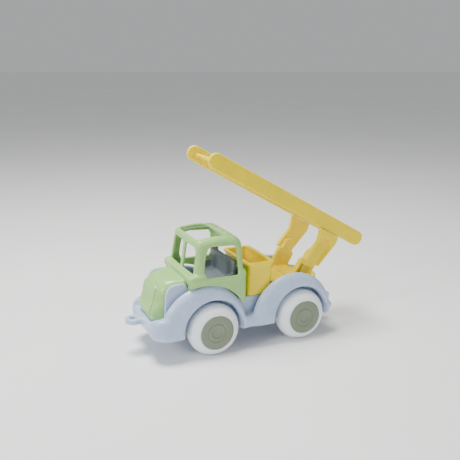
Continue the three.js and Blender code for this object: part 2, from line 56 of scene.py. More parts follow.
FRONT_AXLE = joint_point("front_wheels_roll")
REAR_AXLE = joint_point("rear_wheels_roll")
SHIFT = (FRONT_AXLE[0] + REAR_AXLE[0]) / 2
HALF_BASE = (FRONT_AXLE[0] - REAR_AXLE[0]) / 2
AXLE_Z = FRONT_AXLE[2]
TURN_X = joint_point("turntable_turn")[0] - SHIFT
PIVOT_X = joint_point("ladder_tilt")[0] - SHIFT
PIVOT_Z = joint_point("ladder_tilt")[2]
REST_TILT = math.radians(29.4)

# Driving dimensions in millimetres.
HALF_WIDTH = 46.5          # of the fenders and the bumper
WELL_RADIUS = 34.0
FENDER_RADIUS = 53.7
FENDER_FORWARD = 11.0
FENDER_Z = 32.0
BELLY_BOTTOM = 27.0
BUMPER_FRONT, BUMPER_TOP, CHEEK_TOP = 132.0, 44.7, 51.8
TOW_X, TOW_RADIUS, TOW_HOLE = 141.3, 9.0, 3.5
HOOK_X, HOOK_RADIUS, HOOK_PIN = -113.0, 5.0, 2.8
HATCH = (39.0, 72.6, -29.2, 29.2)
HOOD_NOSE, HOOD_HALF = 129.2, 29.2
SLAT_PITCH = 4.6
DISC_RADIUS, DISC_LOW, DISC_HIGH = 36.0, 67.4, 70.4
BOSS_RADIUS = 9.0
UPRIGHT_LEAN = math.radians(30.0)
UPRIGHT_INNER, UPRIGHT_OUTER = 23.0, 30.0
RAIL_TAIL, RAIL_TIP = -54.5, 183.4
RAIL_INNER, RAIL_OUTER = 29.3, 34.3
RUNG_COUNT, RUNG_FIRST, RUNG_PITCH = 11, 168.4, 20.6
LEG_INNER, LEG_OUTER = 30.4, 36.6
TRACK, TYRE_HALF_WIDTH = 38.0, 13.9
TYRE_BEAD, TYRE_SECTION = 19.0, 12.0
SHAFT_RADIUS, SHAFT_HALF = 2.0, 45.0
FLOOR_HALF = 12.0          # metres


# ---- Distance fields ---------------------------------------------------------------------
class Block:
    """Sample points filling a box, as three arrays that broadcast against each other."""

    def __init__(self, low, high, step):
        self.low = np.array(low, float) - 2 * step
        self.step = step
        counts = np.ceil((np.array(high, float) + 2 * step - self.low) / step).astype(int) + 1
        axes = [self.low[i] + step * np.arange(counts[i]) for i in range(3)]
        self.x = axes[0][:, None, None].astype(np.float32)
        self.y = axes[1][None, :, None].astype(np.float32)
        self.z = axes[2][None, None, :].astype(np.float32)

    def mesh(self, name, field):
        full = np.array(np.broadcast_to(field, (self.x.size, self.y.size, self.z.size)), np.float32)
        for axis in range(3):
            ends = np.moveaxis(full, axis, 0)
            ends[0] = np.maximum(ends[0], self.step)
            ends[-1] = np.maximum(ends[-1], self.step)
        points, quads = surface_net(full)
        assert quads.min() >= 0, name
        return mesh_object(name, points * self.step + self.low, quads)


def surface_net(field):
    """Vertices and quads of the surface where the field is zero, in grid units."""
    inside = field < 0
    cells = tuple(n - 1 for n in field.shape)
    total = np.zeros(cells, np.int8)
    for corner in np.ndindex(2, 2, 2):
        window = tuple(slice(c, c + n) for c, n in zip(corner, cells))
        total += inside[window]
    mixed = (total > 0) & (total < 8)
    cell = np.argwhere(mixed)
    number = np.full(cells, -1, np.int32)
    number[mixed] = np.arange(len(cell))
    sums = np.zeros((len(cell), 3))
    count = np.zeros(len(cell))
    for axis in range(3):
        across = [a for a in range(3) if a != axis]
        for step in np.ndindex(2, 2):
            start = cell.copy()
            start[:, across] += step
            end = start.copy()
            end[:, axis] += 1
            f0 = field[tuple(start.T)]
            f1 = field[tuple(end.T)]
            crossing = (f0 < 0) != (f1 < 0)
            place = start[crossing].astype(float)
            place[:, axis] += f0[crossing] / (f0[crossing] - f1[crossing])
            sums[crossing] += place
            count[crossing] += 1
    quads = [edge_quads(inside, number, axis) for axis in range(3)]
    return sums / count[:, None], np.concatenate(quads)


def edge_quads(inside, number, axis):
    """One quad round each grid edge along the axis that passes through the surface."""
    first = np.take(inside, range(inside.shape[axis] - 1), axis)
    second = np.take(inside, range(1, inside.shape[axis]), axis)
    place = np.argwhere(first != second)
    b, c = (axis + 1) % 3, (axis + 2) % 3
    step_b, step_c = np.eye(3, dtype=int)[[b, c]]
    around = (place, place - step_b, place - step_b - step_c, place - step_c)
    quads = np.stack([number[tuple(p.T)] for p in around], 1)
    solid_first = first[tuple(place.T)]
    quads[~solid_first] = quads[~solid_first][:, ::-1]
    return quads


def blend(a, b, k):
    """Union with a fillet of about size k."""
    h = np.maximum(k - np.abs(a - b), 0) / k
    return np.minimum(a, b) - h * h * k / 4


def carve(a, b, k=1.0):
    """a with b taken away, and the edge rounded."""
    return -blend(-a, b, k)


def common(a, b, k=1.0):
    return -blend(-a, -b, k)


def slab(outline, along, low, high, edge=1.0):
    """A flat outline's field given a thickness along one axis, with rounded edges."""
    w0 = outline + edge
    w1 = np.abs(along - (low + high) / 2) - (high - low) / 2 + edge
    outside = np.sqrt(np.maximum(w0, 0) ** 2 + np.maximum(w1, 0) ** 2)
    return np.minimum(np.maximum(w0, w1), 0) + outside - edge


def rect(a, b, a0, a1, b0, b1, corner=0.0):
    da = np.abs(a - (a0 + a1) / 2) - (a1 - a0) / 2 + corner
    db = np.abs(b - (b0 + b1) / 2) - (b1 - b0) / 2 + corner
    outside = np.sqrt(np.maximum(da, 0) ** 2 + np.maximum(db, 0) ** 2)
    return np.minimum(np.maximum(da, db), 0) + outside - corner


def disc(a, b, a0, b0, radius):
    return np.sqrt((a - a0) ** 2 + (b - b0) ** 2) - radius


def outline(a, b, points):
    """Signed distance from a closed polygon, negative inside."""
    corners = np.array(points, float)
    best = None
    sign = None
    for p, q in zip(corners, np.roll(corners, 1, 0)):
        e = q - p
        wa, wb = a - p[0], b - p[1]
        t = np.clip((wa * e[0] + wb * e[1]) / (e @ e), 0, 1)
        d = (wa - e[0] * t) ** 2 + (wb - e[1] * t) ** 2
        above = b >= p[1]
        below_q = b < q[1]
        left = e[0] * wb > e[1] * wa
        flip = (above & below_q & left) | (~above & ~below_q & ~left)
        best = d if best is None else np.minimum(best, d)
        sign = np.where(flip, -1.0, 1.0) if sign is None else sign * np.where(flip, -1.0, 1.0)
    return sign * np.sqrt(best)


def arc(centre, radius, start, end, count=24):
    angles = np.radians(np.linspace(start, end, count))
    return [(centre[0] + radius * math.cos(t), centre[1] + radius * math.sin(t)) for t in angles]


def curve(p0, p1, p2, count=10):
    """Points of a quadratic curve from p0 to p2."""
    points = []
    for t in np.linspace(0, 1, count):
        points.append(tuple(
            (1 - t) ** 2 * a + 2 * t * (1 - t) * b + t * t * c for a, b, c in zip(p0, p1, p2)
        ))
    return points


# ---- Objects -----------------------------------------------------------------------------
def mesh_object(name, points, faces):
    mesh = bpy.data.meshes.new(name)
    placed = (np.array(points) + (SHIFT, 0, 0)) * MM
    rings = faces.tolist() if isinstance(faces, np.ndarray) else faces
    mesh.from_pydata(placed.tolist(), [], rings)
    mesh.update()
    mesh.shade_smooth()
    piece = bpy.data.objects.new(name, mesh)
    bpy.context.scene.collection.objects.link(piece)
    return piece


def thin(piece, ratio):
    """Fewer faces where the surface is nearly flat."""
    modifier = piece.modifiers.new("thin", "DECIMATE")
    modifier.ratio = ratio
    depsgraph = bpy.context.evaluated_depsgraph_get()
    mesh = bpy.data.meshes.new_from_object(piece.evaluated_get(depsgraph))
    piece.modifiers.clear()
    old = piece.data
    piece.data = mesh
    bpy.data.meshes.remove(old)
    mesh.name = piece.name
    mesh.shade_smooth()
    return piece


def finish_piece(piece, body, slot, material, *nodes):
    piece.data.materials.clear()
    piece.data.materials.append(material)
    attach(piece, body)
    if nodes:
        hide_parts(*nodes)
    return piece


def lathe(name, profile, centre, side, segments=128):
    """Turns (radius, y) points about the y axis through centre (x, z)."""
    ring = np.linspace(0, 2 * math.pi, segments, endpoint=False)
    points, faces, rows = [], [], []
    for radius, y in profile:
        if radius < 1e-6:
            rows.append([len(points)])
            points.append((centre[0], y * side, centre[1]))
            continue
        rows.append(list(range(len(points), len(points) + segments)))
        for t in ring:
            points.append((
                centre[0] + radius * math.cos(t), y * side, centre[1] + radius * math.sin(t),
            ))
    for low, high in zip(rows, rows[1:]):
        for i in range(segments):
            j = (i + 1) % segments
            face = (low[i % len(low)], low[j % len(low)], high[j % len(high)], high[i % len(high)])
            faces.append(tuple(dict.fromkeys(face)))
    return closed_object(name, points, faces)


def closed_object(name, points, faces):
    """A mesh from polygons, all facing outwards."""
    piece = mesh_object(name, points, faces)
    shape = bmesh.new()
    shape.from_mesh(piece.data)
    bmesh.ops.recalc_face_normals(shape, faces=shape.faces)
    shape.to_mesh(piece.data)
    shape.free()
    piece.data.shade_smooth()
    return piece


# ---- Materials ---------------------------------------------------------------------------
def srgb(red, green, blue):
    def linear(value):
        value /= 255
        return value / 12.92 if value <= 0.04045 else ((value + 0.055) / 1.055) ** 2.4
    return (linear(red), linear(green), linear(blue), 1.0)


def noise(nodes, links, scale, detail=3.0, roughness=0.55):
    where = nodes.new("ShaderNodeTexCoord")
    texture = nodes.new("ShaderNodeTexNoise")
    texture.inputs["Scale"].default_value = scale
    texture.inputs["Detail"].default_value = detail
    texture.inputs["Roughness"].default_value = roughness
    links.new(where.outputs["Object"], texture.inputs["Vector"])
    return texture


def ramp(nodes, links, source, stops):
    node = nodes.new("ShaderNodeValToRGB")
    elements = node.color_ramp.elements
    while len(elements) < len(stops):
        elements.new(0.5)
    for element, (place, colour) in zip(elements, stops):
        element.position = place
        element.color = colour
    links.new(source, node.inputs["Fac"])
    return node


def level(low, high, nodes, links, source):
    node = nodes.new("ShaderNodeMapRange")
    node.inputs["From Min"].default_value = 0.3
    node.inputs["From Max"].default_value = 0.7
    node.inputs["To Min"].default_value = low
    node.inputs["To Max"].default_value = high
    links.new(source, node.inputs["Value"])
    return node


def scaled(colour, factor):
    return tuple(min(1.0, channel * factor) for channel in colour[:3]) + (1.0,)


def plastic(name, colour, roughness=0.36, grain=1.0, mottle=0.05, soft=0.06):
    """Moulded plastic: faint flow mottling, paler rubbed edges, and a fine satin grain."""
    material = bpy.data.materials.new(name)
    material.use_nodes = True
    nodes, links = material.node_tree.nodes, material.node_tree.links
    shader = nodes["Principled BSDF"]
    flow = noise(nodes, links, 38.0, 4.0)
    tint = ramp(nodes, links, flow.outputs["Fac"], [
        (0.30, scaled(colour, 1 - mottle)), (0.50, colour), (0.72, scaled(colour, 1 + mottle)),
    ])
    edge = nodes.new("ShaderNodeNewGeometry")
    rub = ramp(nodes, links, edge.outputs["Pointiness"], [
        (0.47, (0, 0, 0, 1)), (0.50, (0, 0, 0, 1)), (0.515, (0, 0, 0, 1)),
        (0.60, (1, 1, 1, 1)),
    ])
    patches = noise(nodes, links, 160.0, 5.0, 0.7)
    amount = nodes.new("ShaderNodeMath")
    amount.operation = "MULTIPLY"
    links.new(rub.outputs["Color"], amount.inputs[0])
    patchy = level(0.05, 0.4, nodes, links, patches.outputs["Fac"])
    links.new(patchy.outputs["Result"], amount.inputs[1])
    paler = nodes.new("ShaderNodeMix")
    paler.data_type = "RGBA"
    links.new(amount.outputs["Value"], paler.inputs["Factor"])
    links.new(tint.outputs["Color"], paler.inputs["A"])
    paler.inputs["B"].default_value = tuple(0.55 * c + 0.45 for c in colour[:3]) + (1.0,)
    links.new(paler.outputs["Result"], shader.inputs["Base Color"])
    gloss = noise(nodes, links, 90.0, 5.0, 0.65)
    spread = level(roughness - 0.06, roughness + 0.08, nodes, links, gloss.outputs["Fac"])
    links.new(spread.outputs["Result"], shader.inputs["Roughness"])
    fine = noise(nodes, links, 2600.0, 2.0)
    waves = noise(nodes, links, 55.0, 2.0)
    height = nodes.new("ShaderNodeMath")
    height.operation = "MULTIPLY_ADD"
    links.new(waves.outputs["Fac"], height.inputs[0])
    height.inputs[1].default_value = 2.5
    links.new(fine.outputs["Fac"], height.inputs[2])
    bump = nodes.new("ShaderNodeBump")
    bump.inputs["Strength"].default_value = 0.22 * grain
    bump.inputs["Distance"].default_value = 0.00012
    links.new(height.outputs["Value"], bump.inputs["Height"])
    links.new(bump.outputs["Normal"], shader.inputs["Normal"])
    shader.inputs["Specular IOR Level"].default_value = 0.4
    shader.inputs["Subsurface Weight"].default_value = soft
    shader.inputs["Subsurface Radius"].default_value = (0.004, 0.003, 0.002)
    shader.inputs["Subsurface Scale"].default_value = 1.0
    return material


def steel(name):
    material = bpy.data.materials.new(name)
    material.use_nodes = True
    nodes, links = material.node_tree.nodes, material.node_tree.links
    shader = nodes["Principled BSDF"]
    shader.inputs["Metallic"].default_value = 1.0
    brushed = noise(nodes, links, 900.0, 4.0, 0.7)
    tint = ramp(nodes, links, brushed.outputs["Fac"], [
        (0.3, (0.42, 0.43, 0.44, 1)), (0.7, (0.62, 0.63, 0.64, 1)),
    ])
    links.new(tint.outputs["Color"], shader.inputs["Base Color"])
    spread = level(0.22, 0.42, nodes, links, brushed.outputs["Fac"])
    links.new(spread.outputs["Result"], shader.inputs["Roughness"])
    return material


def floor_material():
    material = bpy.data.materials.new("pale_floor")
    material.use_nodes = True
    nodes, links = material.node_tree.nodes, material.node_tree.links
    shader = nodes["Principled BSDF"]
    cloud = noise(nodes, links, 3.0, 4.0)
    tint = ramp(nodes, links, cloud.outputs["Fac"], [
        (0.35, (0.90, 0.90, 0.90, 1)), (0.65, (0.93, 0.93, 0.925, 1)),
    ])
    links.new(tint.outputs["Color"], shader.inputs["Base Color"])
    shader.inputs["Roughness"].default_value = 0.85
    return material


BLUE = plastic("pale_blue_plastic", srgb(180, 197, 224), 0.25)
GREEN = plastic("pale_green_plastic", srgb(156, 202, 122), 0.25)
YELLOW = plastic("yellow_plastic", srgb(242, 216, 0), 0.24, soft=0.0)
# The seat's dark grey is painted shade: a darkened copy of the light blue-grey plastic, standing
# for the shade inside the cab.
SEAT_PAINTED_SHADE = plastic("seat_painted_shade_plastic", srgb(104, 112, 118), 0.42)
WHITE = plastic("white_tyre_plastic", srgb(240, 244, 248), 0.45, grain=1.6, mottle=0.02)
SAGE = plastic("sage_plastic", srgb(122, 134, 112), 0.38)
STEEL = steel("axle_steel")


# ---- Chassis -----------------------------------------------------------------------------
def fender_field(g, axle_x):
    """The rolled arch over a wheel: a firm crest inside, and a long roll out to the opening."""
    away = np.abs(g.y)
    hoop = disc(g.x, g.z, axle_x + FENDER_FORWARD, FENDER_Z, FENDER_RADIUS)
    roll = common(hoop, away - HALF_WIDTH, 12.0)
    roll = common(roll, 36.6 - away, 3.4)
    return common(roll, BELLY_BOTTOM - g.z, 4.0)


def wheel_room(g, axle_x):
    """The space round a wheel, opening outwards like a shallow bell."""
    away = np.abs(g.y)
    flare = np.maximum(away - 40.5, 0) * 0.55
    reach = disc(g.x, g.z, axle_x, AXLE_Z, WELL_RADIUS + 0.8) - flare
    return slab(reach, away, 23.0, 80.0, 2.0)


def well_field(g, axle_x):
    away = np.abs(g.y)
    outer = slab(disc(g.x, g.z, axle_x, AXLE_Z, WELL_RADIUS + 2.2), away, 20.5, 42.0, 1.0)
    return common(outer, BELLY_BOTTOM - g.z, 1.0)


def fin_field(g):
    side = [(86, 40)] + curve((86, 80), (87, 88.8), (94, 89)) + [(102, 88.5)]
    side += curve((104, 88.3), (112, 86), (113.2, 75)) + [(115, 40)]
    return slab(outline(g.x, g.z, side), np.abs(g.y), 30.0, 33.6, 1.5)


def bumper_field(g):
    """A deep rounded apron: low in the middle, under the hood, with a raised cheek at each end."""
    bow = (g.y / 46.0) ** 2 * 2.0
    lean = np.clip(42.0 - g.z, 0.0, 20.0) * 0.12
    plan = rect(g.x + bow + lean, g.y, 70.0, BUMPER_FRONT, -HALF_WIDTH, HALF_WIDTH, 15.0)
    low = slab(plan, g.z, 27.4, BUMPER_TOP, 5.5)
    cheek = slab(np.maximum(plan, 31.5 - np.abs(g.y)), g.z, 27.4, CHEEK_TOP, 5.5)
    return blend(low, cheek, 5.0)


def tow_field(g):
    eye = disc(g.x, g.y, TOW_X, 0.0, TOW_RADIUS)
    tongue = rect(g.x, g.y, 122.0, TOW_X, -8.6, 8.6)
    plate = slab(blend(eye, tongue, 3.0), g.z, 37.4, 44.0, 2.0)
    hole = slab(disc(g.x, g.y, TOW_X, 0.0, TOW_HOLE), g.z, 30.0, 60.0, 0.5)
    return plate, hole


def hook_field(g):
    arm_plan = rect(g.x, g.y, HOOK_X, -94.0, -HOOK_RADIUS, HOOK_RADIUS)
    arm = slab(arm_plan, g.z, BELLY_BOTTOM, 31.0, 1.2)
    foot = slab(disc(g.x, g.y, HOOK_X, 0.0, HOOK_RADIUS), g.z, BELLY_BOTTOM, 31.0, 1.2)
    pin = slab(disc(g.x, g.y, HOOK_X, 0.0, HOOK_PIN), g.z, BELLY_BOTTOM, 42.0, 1.4)
    return blend(blend(arm, foot, 1.0), pin, 2.0)


def board_field(g):
    plan = rect(g.x, g.y, -22.0, 32.0, -46.3, 46.3, 4.0)
    return slab(plan, g.z, BELLY_BOTTOM, 40.6, 4.0)


def tail_field(g):
    """The tail beam with two round lamps on each side."""
    away = np.abs(g.y)
    beam = slab(rect(g.x, g.y, -100.5, -86.0, -43.5, 43.5, 8.0), g.z, BELLY_BOTTOM, 51.5, 3.5)
    large = np.sqrt((g.x + 97.0) ** 2 + (away - 42.0) ** 2 + (g.z - 38.0) ** 2) - 4.2
    small = np.sqrt((g.x + 95.0) ** 2 + (away - 42.0) ** 2 + (g.z - 52.0) ** 2) - 3.0
    return blend(beam, np.minimum(large, small), 1.0)


def belly_rooms(g):
    spaces = [(-93, -70, 18), (-46, -14, 18), (28, 45, 18), (70, 108, 18)]
    rooms = slab(rect(g.x, g.y, -12.0, 21.0, -30.0, 30.0, 2.0), g.z, 0.0, 58.4, 1.0)
    for x0, x1, half in spaces:
        room = slab(rect(g.x, g.y, x0, x1, -half, half, 2.0), g.z, 0.0, 44.0, 1.0)
        rooms = np.minimum(rooms, room)
    return rooms


def axle_room(g, axle_x):
    bore = disc(g.x, g.z, axle_x, AXLE_Z, 2.3)
    slot = rect(g.x, g.z, axle_x - 2.3, axle_x + 2.3, 0.0, AXLE_Z)
    seat = slab(rect(g.x, g.y, axle_x - 9.0, axle_x + 9.0, -18.0, 18.0), g.z, 0.0, 28.95, 0.3)
    return np.minimum(slab(np.minimum(bore, slot), g.y, -80.0, 80.0, 0.3), seat)


def chassis():
    g = Block((-118.5, -47, 27), (150.5, 47, 89.5), 0.75)
    spine = slab(rect(g.x, g.y, -97.0, 116.0, -21.0, 21.0, 2.0), g.z, BELLY_BOTTOM, 47.0, 1.5)
    block = slab(rect(g.x, g.y, -17.0, 24.0, -33.0, 33.0, 2.0), g.z, 30.0, 61.7, 1.2)
    solid = blend(spine, block, 2.0)
    solid = blend(solid, board_field(g), 4.0)
    solid = blend(solid, bumper_field(g), 3.0)
    for axle_x in (HALF_BASE, -HALF_BASE):
        solid = blend(solid, well_field(g, axle_x), 1.5)
        solid = blend(solid, fender_field(g, axle_x), 3.5)
    solid = blend(solid, tail_field(g), 2.0)
    solid = blend(solid, fin_field(g), 1.6)
    solid = carve(solid, belly_rooms(g), 1.2)
    for axle_x in (HALF_BASE, -HALF_BASE):
        solid = carve(solid, wheel_room(g, axle_x), 2.0)
        solid = carve(solid, axle_room(g, axle_x), 0.6)
    turn_hole = slab(disc(g.x, g.y, TURN_X, 0.0, 9.3), g.z, 37.0, 80.0, 0.2)
    solid = carve(solid, turn_hole, 0.8)
    plate, hole = tow_field(g)
    solid = carve(blend(solid, plate, 5.0), hole, 1.2)
    solid = blend(solid, hook_field(g), 2.5)
    piece = thin(g.mesh("chassis_body", solid), 0.45)
    return finish_piece(piece, "chassis", "pale_blue", BLUE, "chassis_frame")


# ---- Cab ---------------------------------------------------------------------------------
def slanted(g_a, g_b, point, direction):
    """Distance past a slanted plane: point is on it and direction points outwards."""
    length = math.hypot(*direction)
    return ((g_a - point[0]) * direction[0] + (g_b - point[1]) * direction[1]) / length


def house_field(g, inset=0.0):
    """The posts and roof before their openings, with an arched crown and a round back."""
    away = np.abs(g.y)
    front = slanted(g.x, g.z, (82.6, 96.0), (40.0, 5.8)) + 0.4 * (away / 32.0) ** 2 + inset
    rear = slanted(-g.x, g.z, (-18.6, 96.0), (40.0, 2.2)) + inset
    side = slanted(away, g.z, (42.2, 96.0), (40.0, 3.3)) + inset
    crown = g.z - 139.7 + ((g.x - 50.0) / 95.0) ** 2 * 38.0 + (away / 110.0) ** 2 * 6.0 + inset
    top = common(common(crown, rear, 10.0), front, 5.0)
    walls = common(common(front, side, 9.0), common(side, rear, 3.5), 0.5)
    shell = common(walls, common(top, side, 9.0), 0.5)
    return common(shell, 93.0 - g.z + inset, 0.5)


def house_openings(g):
    side = [(29.4, 94.6), (66.0, 94.6), (68.2, 99.8)]
    side += curve((68.0, 106), (66.6, 119), (64.4, 123.2))
    side += curve((63.2, 126.8), (60.6, 128.6), (56.0, 128.6))
    side += [(37.6, 127.6)]
    side += curve((32.6, 127.4), (29.8, 126.2), (29.2, 121.0)) + [(27.8, 97.5)]
    window = slab(outline(g.x, g.z, side) - 0.4, np.abs(g.y), 30.0, 60.0, 0.5)
    pane_side = [(3.4, 98.2), (34.6, 98.2), (33.8, 118.0)]
    pane_side += curve((33.2, 123.8), (31.0, 128.2), (26.0, 128.2))
    pane_side += curve((7.0, 128.2), (3.8, 128.0), (3.4, 124.0))
    pane = slab(outline(np.abs(g.y), g.z, pane_side), g.x, 62.0, 110.0, 0.5)
    hatch = slab(rect(g.x, g.y, *HATCH, 5.0), g.z, 124.0, 150.0, 0.5)
    back = slab(rect(g.y, g.z, -32.0, 32.0, 97.0, 121.5, 6.0), g.x, 0.0, 33.0, 0.5)
    return np.minimum(np.minimum(window, pane), np.minimum(hatch, back))


def hood_side(inset):
    nose = HOOD_NOSE - inset
    side = [(80, 45.0), (80, 91.0 - inset), (97, 91.6 - inset)]
    side += curve((101, 91.6 - inset), (nose - 7.5, 91 - inset), (nose - 2.8, 73), 14)
    side += curve((nose - 2.3, 71), (nose + 0.8, 58), (nose - 2.2, 45.0), 8)
    return side


def hood_plan(inset):
    """Half of the hood seen from above: it narrows to a broad nose with tight corners."""
    nose, half = HOOD_NOSE - inset, HOOD_HALF - inset
    plan = [(40.0, -40.0), (nose, -40.0)]
    plan += curve((nose, 0), (nose, half - 18), (nose - 1.2, half - 11.4))
    plan += curve((nose - 2.0, half - 8.5), (nose - 2.8, half - 6.0), (nose - 6.0, half - 4.6), 6)
    plan += curve((nose - 8.0, half - 3.6), (nose - 14, half), (nose - 24, half))
    return plan + [(40.0, half)]


def hood_field(g, inset=0.0):
    """The hood: nearly flat near the windscreen, and rounder and rounder towards the nose."""
    side = outline(g.x, g.z, hood_side(inset))
    body = outline(g.x, np.abs(g.y), hood_plan(inset))
    rounding = 6.0 + 15.0 * np.clip((g.x - 86.0) / 30.0, 0, 1) * np.clip((g.z - 56.0) / 12.0, 0, 1)
    return common(side, body, rounding)


def cab():
    g = Block((15, -45, 44.5), (130.5, 45, 140.5), 0.6)
    away = np.abs(g.y)
    body = slab(rect(g.x, g.y, 16.5, 87.0, -44.0, 44.0, 6.5), g.z, 59.0, 98.0, 3.0)
    ledge = slab(rect(g.x, g.y, 79.0, 88.4, -43.6, 43.6, 4.5), g.z, 88.6, 97.6, 2.8)
    solid = blend(body, ledge, 1.6)
    solid = blend(solid, house_field(g), 4.0)
    solid = carve(solid, house_field(g, 3.4), 1.5)
    room = slab(rect(g.x, g.y, 19.5, 81.0, -41.0, 41.0, 4.0), g.z, 40.0, 95.2, 1.0)
    doorway = slab(rect(g.x, g.y, 24.0, 78.0, -38.0, 38.0, 4.0), g.z, 80.0, 102.0, 1.0)
    solid = carve(carve(solid, room, 1.0), doorway, 1.6)
    solid = carve(solid, house_openings(g), 2.2)
    solid = blend(solid, hood_field(g), 1.8)
    solid = carve(solid, hood_field(g, 2.8), 0.8)
    under_hood = slab(rect(g.x, g.y, 79.0, 100.0, -24.0, 24.0, 2.0), g.z, 40.0, 80.0, 1.0)
    solid = carve(solid, under_hood, 0.8)
    solid = carve(solid, fender_clear(g), 1.4)
    fin_slot = slab(rect(g.x, away, 80.0, 140.0, 29.65, 33.95), g.z, 0.0, 89.4, 0.2)
    solid = carve(solid, fin_slot, 0.6)
    block = slab(rect(g.x, g.y, 0.0, 24.4, -33.4, 33.4), g.z, 0.0, 62.1, 0.2)
    solid = carve(solid, block, 0.6)
    piece = thin(g.mesh("cab_body", solid), 0.5)
    return finish_piece(piece, "chassis", "pale_green", GREEN, "cab_shell", "cab_frame")


def fender_clear(g):
    """What the cab leaves free over the front fenders and wheel housings."""
    away = np.abs(g.y)
    hoop = disc(g.x, g.z, HALF_BASE + FENDER_FORWARD, FENDER_Z, FENDER_RADIUS + 0.35)
    over = slab(hoop, away, 36.2, 80.0, 0.3)
    well = slab(disc(g.x, g.z, HALF_BASE, AXLE_Z, WELL_RADIUS + 2.6), away, 20.0, 80.0, 0.3)
    return np.minimum(over, well)


def grille():
    """A raised panel with a round top and upright slats that follows the curve of the nose."""
    g = Block((103, -20, 51), (132, 20, 89), 0.4)
    skin = hood_field(g)
    arched_top = disc(g.y, g.z, 0.0, 55.0, 33.0)
    mask = np.maximum(rect(g.y, g.z, -19.0, 19.0, 53.0, 110.0, 3.0), arched_top)
    mask = common(mask, 108.5 - g.x, 1.0)
    slats = 0.5 + 0.5 * np.cos(g.y * (2 * math.pi / SLAT_PITCH))
    zone = np.clip((17.0 - np.abs(g.y)) / 1.5, 0, 1) * np.clip((80.0 - g.z) / 4, 0, 1)
    zone = zone * np.clip((g.z - 56.0) / 3, 0, 1)
    height = 1.2 - 0.75 * zone * (1 - slats)
    face = common(skin - height, mask, 1.0)
    solid = carve(face, skin + 0.4, 0.3)
    piece = thin(g.mesh("grille_skin", solid), 0.6)
    return finish_piece(piece, "chassis", "grille_green", GREEN, "grille_panel")


def seat():
    g = Block((24, -34, 73), (57, 34, 108), 0.6)
    cushion = slab(rect(g.x, g.y, 27.0, 56.0, -33.0, 33.0, 3.0), g.z, 74.0, 82.0, 1.6)
    back = slab(rect(g.y, g.z, -33.0, 33.0, 74.0, 107.0, 4.0), g.x, 25.6, 30.4, 1.5)
    arm_side = outline(g.x, g.z, [(26, 74), (46, 74), (46, 88), (42, 91), (26, 93)])
    arm = slab(arm_side, np.abs(g.y), 30.0, 33.0, 1.2)
    solid = blend(blend(cushion, back, 4.0), arm, 2.0)
    piece = thin(g.mesh("seat_shell", solid), 0.5)
    # The seat gets the painted-shade grey, darkened for the shade inside the cab rather than its
    # own plastic colour.
    return finish_piece(piece, "chassis", "grey", SEAT_PAINTED_SHADE, "seat_bench")


# ---- Tub ---------------------------------------------------------------------------------
def tub():
    g = Block((-24.5, -37, 61.5), (13.5, 37, 103), 0.5)
    rise = (g.z - 62.0) / 40.0
    along = g.x + rise * 1.2
    wall_plan = rect(along, g.y / (1 + rise * 0.018), -19.6, 11.6, -35.0, 35.0, 4.0)
    outer = slab(wall_plan, g.z, 62.0, 101.5, 2.2)
    rim = slab(rect(g.x, g.y, -24.0, 13.0, -36.3, 36.3, 5.5), g.z, 98.8, 102.6, 1.9)
    shell = blend(outer, rim, 2.5)
    hollow = slab(rect(along, g.y, -17.3, 9.2, -32.3, 32.3, 3.2), g.z, 64.8, 120.0, 1.5)
    shell = carve(shell, hollow, 2.2)
    piece = thin(g.mesh("tub_shell", shell), 0.45)
    return finish_piece(piece, "chassis", "yellow", YELLOW, "cargo_tub")


# ---- Turntable ---------------------------------------------------------------------------
def leaned(g):
    """Coordinates along and across the uprights, which lean back from the pivot."""
    lean = UPRIGHT_LEAN
    dx, dz = g.x - PIVOT_X, g.z - PIVOT_Z
    along = -dx * math.sin(lean) + dz * math.cos(lean)
    across = dx * math.cos(lean) + dz * math.sin(lean)
    return along, across


def turntable():
    g = Block((-98, -36.5, 40.5), (-24.5, 36.5, 108), 0.6)
    away = np.abs(g.y)
    along, across = leaned(g)
    plate = slab(disc(g.x, g.y, TURN_X, 0.0, DISC_RADIUS), g.z, DISC_LOW, DISC_HIGH, 1.0)
    bridge = slab(rect(g.x, g.y, -73.0, -53.0, -24.0, 24.0, 2.0), g.z, 69.0, 73.6, 1.2)
    base = blend(plate, bridge, 2.0)
    blade = rect(along, across, -60.0, -8.0, -11.5, 11.5, 2.5)
    upright = slab(blade, away, UPRIGHT_INNER, UPRIGHT_OUTER, 0.8)
    pocket = slab(rect(along, across, -70.0, -13.0, -8.6, 8.6, 2.0), away, 25.6, 40.0, 0.6)
    rib = slab(rect(along, across, -60.0, -13.0, 2.4, 3.8), away, 24.0, 28.8, 0.5)
    upright = blend(carve(upright, pocket, 0.8), rib, 0.8)
    eye = disc(along, across, 0.0, 0.0, 7.5)
    tongue = blend(rect(along, across, -14.0, 0.0, -7.5, 7.5), eye, 0.1)
    upright = blend(upright, slab(tongue, away, UPRIGHT_INNER, UPRIGHT_OUTER, 0.8), 1.5)
    upright = common(upright, 68.5 - g.z, 0.5)
    pin = slab(disc(along, across, 0.0, 0.0, 3.35), away, 24.4, 60.0, 0.2)
    solid = blend(base, carve(upright, pin, 0.6), 2.0)
    boss = slab(disc(g.x, g.y, TURN_X, 0.0, BOSS_RADIUS), g.z, 41.0, 69.0, 0.8)
    solid = blend(solid, boss, 1.5)
    split = rect(g.x, g.y, TURN_X - 20, TURN_X + 20, -2.0, 2.0)
    solid = carve(solid, slab(split, g.z, 30.0, 51.0, 0.4), 0.6)
    piece = thin(g.mesh("turntable_body", solid), 0.5)
    return finish_piece(piece, "turntable", "yellow", YELLOW, "turntable")


# ---- Ladder ------------------------------------------------------------------------------
def tilt_up(piece):
    """Moves a piece built about the pivot, with x along the rails, to its raised place."""
    centre = Vector(((PIVOT_X + SHIFT) * MM, 0, PIVOT_Z * MM))
    from_build = Matrix.Translation((-SHIFT * MM, 0, 0))
    turn = Matrix.Rotation(-REST_TILT, 4, "Y")
    piece.data.transform(Matrix.Translation(centre) @ turn @ from_build)
    return piece


